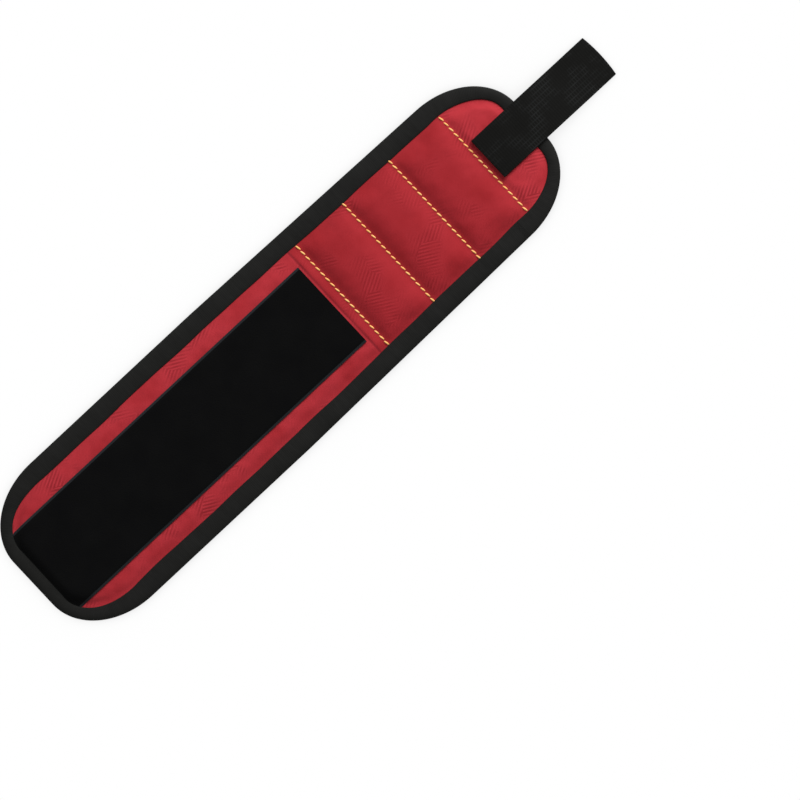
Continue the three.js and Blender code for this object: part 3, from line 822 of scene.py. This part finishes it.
# %% One row of stitches, laid in each channel
stitch_pitch, stitch_size = 3.65 * MM, (1.05 * MM, 3.7 * MM, 1.1 * MM)
stitch_turn, stitch_lift, stitch_sink = math.radians(-11), 0.28 * MM, 0.35 * MM
row_depth = 1.04


def channel_height(x, y):
    depth = depth_at(x, y)
    return front_height(depth) - seam_dip * foam_rise(depth)


def stitch_row(name, seam):
    reach = float(half_width(np.array([seam]), row_depth)[0])
    count = int(2 * reach / stitch_pitch) + 1
    bpy.ops.mesh.primitive_uv_sphere_add(segments=8, ring_count=6, radius=0.5)
    thread = bpy.context.active_object
    thread.name = thread.data.name = name
    edit_all(thread, bpy.ops.transform.resize, value=stitch_size)
    edit_all(thread, bpy.ops.transform.rotate, value=stitch_turn, orient_axis="Z", center_override=(0, 0, 0))
    edit_all(thread, bpy.ops.transform.translate, value=(seam, -stitch_pitch * (count - 1) / 2, 0))
    apply_modifier(thread, "ARRAY", count=count, use_relative_offset=False, use_constant_offset=True,
                   constant_offset_displace=(0, stitch_pitch, 0))
    points = points_of(thread)
    place = points[:, 1] / stitch_pitch + (count - 1) / 2
    from_middle = 2 * (place - np.rint(place))
    points[:, 2] += channel_height(np.full(len(points), seam), points[:, 1]) + stitch_lift
    points[:, 2] -= stitch_sink * from_middle ** 2
    move_points(thread, points)
    lay_flat_map(thread)
    pick(thread)
    bpy.ops.object.shade_smooth()
    print(name, "has", count, "stitches")
    return thread


thread_rows = [stitch_row(f"stitches_{row}", seam) for row, seam in enumerate(seams, 1)]

# %% [markdown]
# ## Finish of the sewing
# Bright orange thread, twisted from several strands: slanting ribs give the twist, and a cloud over
# each stretch keeps the stitches from looking alike. It is the only thread here with some gloss. The
# first three rows lie beside a fold; the last one stays flat on the tail.

# %% Orange thread
orange_thread, tree, shader, cloth = new_finish("orange_thread")
strands = ribs_on(tree, cloth, 0.35, 50)
clouds = mottle_on(tree, cloth, 160.0)
base = mix_colours(tree, clouds["Cloud"], paint("f5a238"), paint("ffda90"))
twisted = mix_colours(tree, times(tree, strands, 0.35), base, paint("d0771a"))
add_bump(tree, shader, strands, 0.08 * MM, 0.6)
set_surface(tree, shader, twisted, roughness=0.45, gloss=0.5, fuzz=0.2)
dress(thread_rows, orange_thread)
for row, thread in enumerate(thread_rows, 1):
    if row < len(thread_rows):
        bend_over(thread)
    else:
        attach(thread, "tail")
    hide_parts(f"seam_thread_{row}")
print("finish:", orange_thread.name)

# %% [markdown]
# ## The lining
# The wrist side is an open diamond net over a thin dark backing. The backing is a plain sheet that
# follows the foam. Its faces are turned over to look down at the wrist, before it gets its thickness.

# %% The backing sheet
backing_step, backing_lines, backing_thickness = 3 * MM, 40, 0.25 * MM
backing_stations = spread([band_start + cloth_inset, band_end - cloth_inset], backing_step)
backing = grid_piece("lining_backing", backing_stations, np.linspace(-1, 1, backing_lines))
back_points = points_of(backing)
back_points[:, 1] *= half_width(back_points[:, 0], cloth_rim)
back_points[:, 2] = lining_height(back_points[:, 0], back_points[:, 1])
move_points(backing, back_points)
lay_flat_map(backing)
edit_all(backing, bpy.ops.mesh.flip_normals)
thicken(backing, backing_thickness)
print("backing", len(backing.data.polygons), "faces")

# %% [markdown]
# The net is real thread, because its holes have to show the dark behind them. A grid is turned by 45
# degrees and squeezed, so that its squares become diamonds. What lies outside the band or under the
# hook patch is deleted, and the Wireframe modifier makes a strand of every edge that is left.

# %% A grid of diamonds
patch_low, patch_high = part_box("hook_patch")
net_pitch, net_length, net_strand = 3.45 * MM, 0.36, 0.85 * MM
net_turn, net_squeeze = math.radians(45), (1.16, 0.858, 1)
net_depth, net_inset, patch_overlap = 0.6, 4 * MM, 3 * MM
net_count = int(net_length / net_pitch)
net_size = net_count * net_pitch
bpy.ops.mesh.primitive_grid_add(x_subdivisions=net_count, y_subdivisions=net_count, size=net_size)
net = bpy.context.active_object
net.name = net.data.name = "net"
edit_all(net, bpy.ops.transform.rotate, value=net_turn, orient_axis="Z", center_override=(0, 0, 0))
edit_all(net, bpy.ops.transform.resize, value=net_squeeze)
edit_all(net, bpy.ops.transform.translate, value=(band_middle, 0, 0))
edit_all(net, bpy.ops.mesh.select_all, action="DESELECT")
net_x, net_y = points_of(net)[:, :2].T
outside = depth_at(np.clip(net_x, band_start, band_end), net_y) < net_depth
outside |= (net_x < band_start + net_inset) | (net_x > band_end - net_inset)
under_patch = (net_x > patch_low.x + patch_overlap) & (np.abs(net_y) < patch_high.y - patch_overlap)
net.data.vertices.foreach_set("select", outside | under_patch)
bpy.ops.object.mode_set(mode="EDIT")
bpy.ops.mesh.delete(type="VERT")
bpy.ops.object.mode_set(mode="OBJECT")
print("diamonds left:", len(net.data.polygons))

# %% A strand of every edge
net_flange_z, net_drop = 1.5 * MM, 1.0 * MM
apply_modifier(net, "WIREFRAME", thickness=net_strand, use_even_offset=False, use_replace=True,
               use_boundary=True)
net_points = points_of(net)
lay_flat_map(net)
net_points[:, 2] += net_flange_z - net_drop * foam_rise(depth_at(net_points[:, 0], net_points[:, 1]))
move_points(net, net_points)
print("net", len(net.data.polygons), "faces")

# %% [markdown]
# ## Finish of the lining
# In the middle the meshes of the net stand open and show the dark behind them. Towards the edge tape
# the wrist side curves away and gets less light, and that shade is painted: the net is painted darker
# there and its pattern fades. A shared group measures how near the edge a point is, and both finishes
# of the lining drift to one dull black there.

# %% Painted shade towards the edge
end_fade, side_fade, faded_by, fade_share = 24 * MM, 22 * MM, 8 * MM, 0.85
edge_shading, given, made = new_group("edge_shading", {"Cloth": "Vector"}, {"Share": "Float"})
along, across = along_across(edge_shading, given["Cloth"])
from_middle = distance_from(edge_shading, along, band_middle)
near_end = stretch(edge_shading, from_middle, band_half - end_fade, band_half - faded_by)
from_line = sum_node(edge_shading, "ABSOLUTE", across)
near_side = stretch(edge_shading, from_line, strap_half - side_fade, strap_half - faded_by)
nearest = sum_node(edge_shading, "MAXIMUM", near_end, near_side)
edge_shading.links.new(times(edge_shading, nearest, fade_share), made["Share"])
print("group:", edge_shading.name)

# %% Black net
black_net, tree, shader, cloth = new_finish("black_net")
clouds = mottle_on(tree, cloth, 50.0)
cords = weave_on(tree, cloth, 0.7, 0.7)
base = mix_colours(tree, clouds["Cloud"], paint("1e2020"), paint("363838"))
strand = mix_colours(tree, times(tree, cords, 0.3), base, paint("161717"))
share = use_group(tree, edge_shading, Cloth=cloth)["Share"]
add_bump(tree, shader, cords, 0.1 * MM, 0.5)
# Painted shade: the net is painted darker towards the edge tape, where less light falls.
faded = mix_colours(tree, share, strand, paint("131413"))
set_surface(tree, shader, faded, roughness=0.6, gloss=0.1, fuzz=0.02)
dress([net], black_net)
print("finish:", black_net.name)

# %% Dark backing
dark_backing, tree, shader, cloth = new_finish("dark_backing")
clouds = mottle_on(tree, cloth, 80.0)
ground = mix_colours(tree, clouds["Fleck"], paint("050505"), paint("0e0e0e"))
share = use_group(tree, edge_shading, Cloth=cloth)["Share"]
add_bump(tree, shader, clouds["Fleck"], 0.2 * MM, 0.6)
# Near the edge the backing drifts to the same dull black as the net's painted shade.
faded = mix_colours(tree, share, ground, paint("121312"))
set_surface(tree, shader, faded, roughness=0.95, gloss=0.03)
dress([backing], dark_backing)
print("finish:", dark_backing.name)

# %% [markdown]
# Net and backing are cut alike. The backing is stretched over the foam, and the net on it goes where
# it goes.

# %% Cut the lining over the folds
def lining_solids(part):
    return [f"lining_{part}"]


net_pieces = split_over_folds(net, "lining_net", len(folds), lining_solids, crease=80)
backing_pieces = split_over_folds(
    backing, "lining_backing", len(folds), lining_solids, crease=60)
for sheet, threads, pad in zip(backing_pieces, net_pieces, cover_pieces):
    length, width = size_of(sheet)[:2]
print("lining pieces:", len(net_pieces) + len(backing_pieces))

# %% [markdown]
# ## The hook patch
# A square of hook tape on the wrist side, at the strap end. Three of its sides are turned hems that
# stand a little proud; the fourth is caught under the edge tape. It is a grid like the others, with
# close lines at the hems, turned over to face the wrist and thickened up into the lining.

# %% Stations and lines of the hook patch
patch_half, patch_end = patch_high.y, band_end - 6.5 * MM
hem, hem_slope, rim_width, patch_step = 3.5 * MM, 0.4 * MM, 0.3 * MM, 1.6 * MM
hem_from, hem_full, patch_field, patch_rows = 0.86, 0.876, 0.82, 29
inner_breaks = [patch_low.x + hem - hem_slope, patch_low.x + hem, patch_end]
patch_stations = [patch_low.x, patch_low.x + rim_width, *spread(inner_breaks, patch_step)]
patch_lines = lines_across([hem_from, hem_full, rim_from, 1], patch_field, patch_rows)
patch = grid_piece("hook_patch_sewn", patch_stations, patch_lines)
print("hook patch grid", len(patch_stations), "by", len(patch_lines))

# %% Lay the hook patch
# Heights are in millimetres above the table.
patch_face, hem_height, rim_round, caught_height = 0.32, 0.3, 0.25, 1.45
patch_thickness, free_depth = 0.9 * MM, 1.3
patch_points = points_of(patch)
patch_x, patch_y = patch_points[:, 0].copy(), patch_points[:, 1].copy()
patch_points[:, 1] = patch_y * np.minimum(patch_half, half_width(patch_x, caught_depth))
depth = depth_at(patch_x, patch_points[:, 1])
side, from_front = np.abs(patch_y), patch_x - patch_low.x
hemmed = np.maximum(smooth(hem_from, hem_full, side), 1 - smooth(hem - hem_slope, hem, from_front))
rim = np.maximum(smooth(rim_from, 1.0, side), 1 - smooth(0, rim_width, from_front))
face_z = patch_face - hem_height * hemmed + rim_round * rim
caught = 1 - smooth(foam_from, free_depth, depth)
patch_points[:, 2] = (face_z + (caught_height - face_z) * caught) * MM
move_points(patch, patch_points)
lay_flat_map(patch)
edit_all(patch, bpy.ops.mesh.flip_normals)
thicken(patch, patch_thickness)
bpy.ops.object.shade_smooth_by_angle(angle=math.radians(40))
patch_size = size_of(patch)
print("hook patch", np.round(patch_size / MM, 1))

# %% [markdown]
# ## Finish of the hook patch
# The field is set with rows of stiff little hooks, too small to model, so a coarse weave in the bump
# stands for them. The hems are plain tape, finer and lighter. The same lines that shaped the hems
# part the two finishes.

# %% Black hook tape
black_hook, tree, shader, cloth = new_finish("black_hook_tape")
along, across = along_across(tree, cloth)
hem_middle = (hem_from + hem_full) / 2
beside = sum_node(tree, "GREATER_THAN", sum_node(tree, "ABSOLUTE", across), patch_half * hem_middle)
in_front = sum_node(tree, "LESS_THAN", along, patch_low.x + hem - hem_slope / 2)
hems = sum_node(tree, "MAXIMUM", beside, in_front)
hooks, cords = weave_on(tree, cloth, 1.6, 1.2), weave_on(tree, cloth, 0.8, 0.8)
clouds = mottle_on(tree, cloth, 70.0)
field = mix_colours(tree, clouds["Cloud"], paint("1a1a19"), paint("242423"))
hooked = mix_colours(tree, times(tree, hooks, 0.25), field, paint("121211"))
strip = mix_colours(tree, clouds["Cloud"], paint("282928"), paint("343534"))
hooks_high = times(tree, hooks, rest_of(tree, hems))
cords_high = times(tree, times(tree, cords, hems), 0.4)
add_bump(tree, shader, sum_node(tree, "ADD", hooks_high, cords_high), 0.25 * MM, 0.5)
set_surface(tree, shader, mix_colours(tree, hems, hooked, strip), roughness=0.65, gloss=0.08)
dress([patch], black_hook)
bend_over(patch)
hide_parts("hook_patch")
print("finish:", black_hook.name)

# %% [markdown]
# ## The strap
# Webbing, 25 mm wide, sewn flat on the cover, over the edge tape and free beyond it. The free end
# rests on the table. Its line along the band is drawn point by point and softened, a grid follows it,
# and Solidify and a small bevel give the webbing its thickness and its rounded selvedge. The edges
# curl a little, and the cut end is slightly bowed.

# %% The line of the strap
hinge_x, hinge_z = hinges["strap_fold"][0], hinges["strap_fold"][2]
tip_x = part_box("strap_tab")[1].x
line_steps, softening = 200, 17
# Each point is a place along the band and a height in millimetres.
strap_line = [(strap_start, 6.75), (band_end - 15 * MM, 6.75), (band_end - 9 * MM, 6.45),
              (band_end - 2 * MM, 6.25), (hinge_x, 6.15), (band_end + 6 * MM, 5.75),
              (tip_x - 20 * MM, 2.9), (tip_x, 1.75)]
line_x, line_z = np.array(strap_line).T
fine_x = np.linspace(strap_start, tip_x, line_steps)
drawn_z = np.pad(np.interp(fine_x, line_x, line_z * MM), softening // 2, mode="edge")
fine_z = np.convolve(drawn_z, np.ones(softening) / softening, mode="valid")
print("strap falls from", round(fine_z[0] / MM, 1), "to", round(fine_z[-1] / MM, 1), "mm")

# %% Lay the strap along its line
webbing, selvedge = 1.4 * MM, 0.35 * MM
strap_step, strap_lines = 1.6 * MM, 13
curl_height, curl_length = 0.12 * MM, 9 * MM
bow_depth, bow_length = 0.9 * MM, 8 * MM
strap_breaks = [strap_start, band_end - 12 * MM, band_end + 8 * MM, tip_x]
strap = grid_piece("strap", spread(strap_breaks, strap_step), np.linspace(-1, 1, strap_lines) * strap_side)
strap_points = points_of(strap)
to_selvedge = (strap_points[:, 1] / strap_side) ** 2
strap_points[:, 2] = np.interp(strap_points[:, 0], fine_x, fine_z)
strap_points[:, 2] += curl_height * np.sin(strap_points[:, 0] / curl_length) * to_selvedge
tip_bow = bow_depth * smooth(tip_x - bow_length, tip_x, strap_points[:, 0])
strap_points[:, 0] -= tip_bow * to_selvedge
move_points(strap, strap_points)
lay_flat_map(strap)
thicken(strap, webbing)
apply_modifier(strap, "BEVEL", width=selvedge, segments=3, limit_method="ANGLE",
               angle_limit=math.radians(60))
pick(strap)
bpy.ops.object.shade_smooth_by_angle(angle=math.radians(50))
print("strap", np.round(size_of(strap) / MM, 1))

# %% [markdown]
# ## Finish of the strap
# Webbing is woven of thick cords, with ribs across the strap and broader columns along it. In patches
# that a cloud picks, the tops of the ribs are a little lighter. The strap's own hinge lies just outside
# the edge tape, and its line turns down there.

# %% Black webbing
black_webbing, tree, shader, cloth = new_finish("black_webbing")
rows, columns = ribs_on(tree, cloth, 1.4), ribs_on(tree, cloth, 2.5, 90)
clouds = mottle_on(tree, cloth, 75.0)
cords_high = times(tree, rows, sum_node(tree, "MULTIPLY_ADD", columns, 0.5, 0.5))
base = mix_colours(tree, clouds["Cloud"], paint("0e0e0d"), paint("141413"))
corded = mix_colours(tree, times(tree, cords_high, 0.3), base, paint("191918"))
rib_tops = sum_node(tree, "POWER", sum_node(tree, "MAXIMUM", rows, columns), 9.0)
# The tops of the ribs are made lighter in patches that a cloud picks.
light_rib_tops = times(tree, rib_tops, stretch(tree, clouds["Cloud"], 0.45, 0.62))
add_bump(tree, shader, sum_node(tree, "MULTIPLY_ADD", cords_high, 0.5, light_rib_tops), 0.15 * MM, 0.4)
with_light_tops = mix_colours(tree, light_rib_tops, corded, paint("202121"))
set_surface(tree, shader, with_light_tops, roughness=0.62, gloss=0.02, fuzz=0.01)
dress([strap], black_webbing)
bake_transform(strap)
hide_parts("strap_base", "strap_tab")
print("finish:", black_webbing.name)

# %% [markdown]
# ## The magnets
# Twelve nickel-plated discs sit in the foam under the cells. They stay hidden, and keep their own
# solids; a softly clouded plated finish is enough for anyone who takes the band apart.

# %% Plated discs
plated = bpy.data.materials.new("plated_disc")
plated.use_nodes = True
tree = plated.node_tree
shader = tree.nodes["Principled BSDF"]
place = tree.nodes.new("ShaderNodeTexCoord").outputs["Object"]
clouds = mottle_on(tree, place, 220.0)
nickel = mix_colours(tree, clouds["Cloud"], paint("a9adb2"), paint("c6c9cc"))
tree.links.new(nickel, shader.inputs["Base Color"])
tree.links.new(sum_node(tree, "MULTIPLY_ADD", clouds["Fleck"], 0.25, 0.2), shader.inputs["Roughness"])
shader.inputs["Metallic"].default_value = 1.0
magnets = [solid for name, solid in frame["nodes"].items() if name.startswith("magnet_")]
dress(magnets, plated)
print("finish:", plated.name, "on", len(magnets), "magnets")

# %% [markdown]
# ## Floor and room
# The band lies on a pale glass table in a bright white room. The table is clear but for the soft shade
# round what lies on it, so that the wrist side can be seen through it, and the whole band when it is
# wrapped. The room looks pure white, but it lights the band with only a third of that.

# %% Clear table
shade_reach, shade_samples, darkest = 40 * MM, 12, 0.68
bpy.ops.mesh.primitive_plane_add(size=4, location=(0, 0, 0))
floor = bpy.context.active_object
floor.name = "floor"
pale = bpy.data.materials.new("pale_table")
pale.use_nodes = True
tree = pale.node_tree
tree.nodes.clear()
near = add_node(tree, "ShaderNodeAmbientOcclusion", Distance=shade_reach)
near.samples = shade_samples
shadow = stretch(tree, near.outputs["AO"], 0.0, 0.95, darkest)
tint = mix_colours(tree, shadow, (0, 0, 0, 1), (1, 1, 1, 1))
clear = add_node(tree, "ShaderNodeBsdfTransparent", Color=tint)
tree.links.new(clear.outputs[0], tree.nodes.new("ShaderNodeOutputMaterial").inputs["Surface"])
dress([floor], pale)
print("table ready")

# %% White room
room_seen, room_light = 1.0, 0.33
room = bpy.context.scene.world or bpy.data.worlds.new("room")
bpy.context.scene.world = room
room.use_nodes = True
tree = room.node_tree
tree.nodes.clear()
rays = tree.nodes.new("ShaderNodeLightPath").outputs
mirrored = sum_node(tree, "MAXIMUM", rays["Is Glossy Ray"], rays["Is Transmission Ray"])
seen = sum_node(tree, "MAXIMUM", rays["Is Camera Ray"], mirrored)
white = add_node(tree, "ShaderNodeBackground", Color=(1, 1, 1, 1), Strength=room_seen)
dimmed = add_node(tree, "ShaderNodeBackground", Color=(1, 1, 1, 1), Strength=room_light)
mixed = tree.nodes.new("ShaderNodeMixShader")
for socket, source in zip(mixed.inputs, (seen, dimmed.outputs[0], white.outputs[0])):
    tree.links.new(source, socket)
tree.links.new(mixed.outputs[0], tree.nodes.new("ShaderNodeOutputWorld").inputs["Surface"])
print("room ready")

# %% [markdown]
# ## Lamps and camera
# One large soft lamp stands beyond the strap end and draws out the puffed cells. A weaker one lies
# under the table, at the same place mirrored, for the wrist side. The camera hangs straight above,
# turned so that the band runs from lower left to upper right. A long lens keeps its sides straight.

# %% Lamps
lamp_place, lamp_size, lamp_power, under_power = (1.5, 0.6, 1.3), 1.2, 57, 34


def aim_at_band(lamp):
    lamp.rotation_euler = (-lamp.location).to_track_quat("-Z", "Y").to_euler()


bpy.ops.object.light_add(type="AREA", location=lamp_place)
lamp = bpy.context.active_object
lamp.name = "soft_lamp"
lamp.data.size = lamp_size
lamp.data.energy = lamp_power
aim_at_band(lamp)
under_lamp = copy_of(lamp, "under_lamp")
under_lamp.data.energy = under_power
under_lamp.location.z *= -1
aim_at_band(under_lamp)
print("lamps:", lamp.name, under_lamp.name)

# %% Camera
camera_x, camera_y, camera_height = 2.7 * MM, -58.6 * MM, 1.2
camera_turn, film_width, seen_width = math.radians(-43), 36, 0.4056
bpy.ops.object.camera_add(location=(camera_x, camera_y, camera_height), rotation=(0, 0, camera_turn))
camera = bpy.context.active_object
camera.data.lens = film_width * camera_height / seen_width
camera.data.clip_start, camera.data.clip_end = 0.01, 10
bpy.context.scene.camera = camera
bpy.context.scene.view_settings.view_transform = "Standard"
print("camera lens", round(camera.data.lens, 1), "mm")
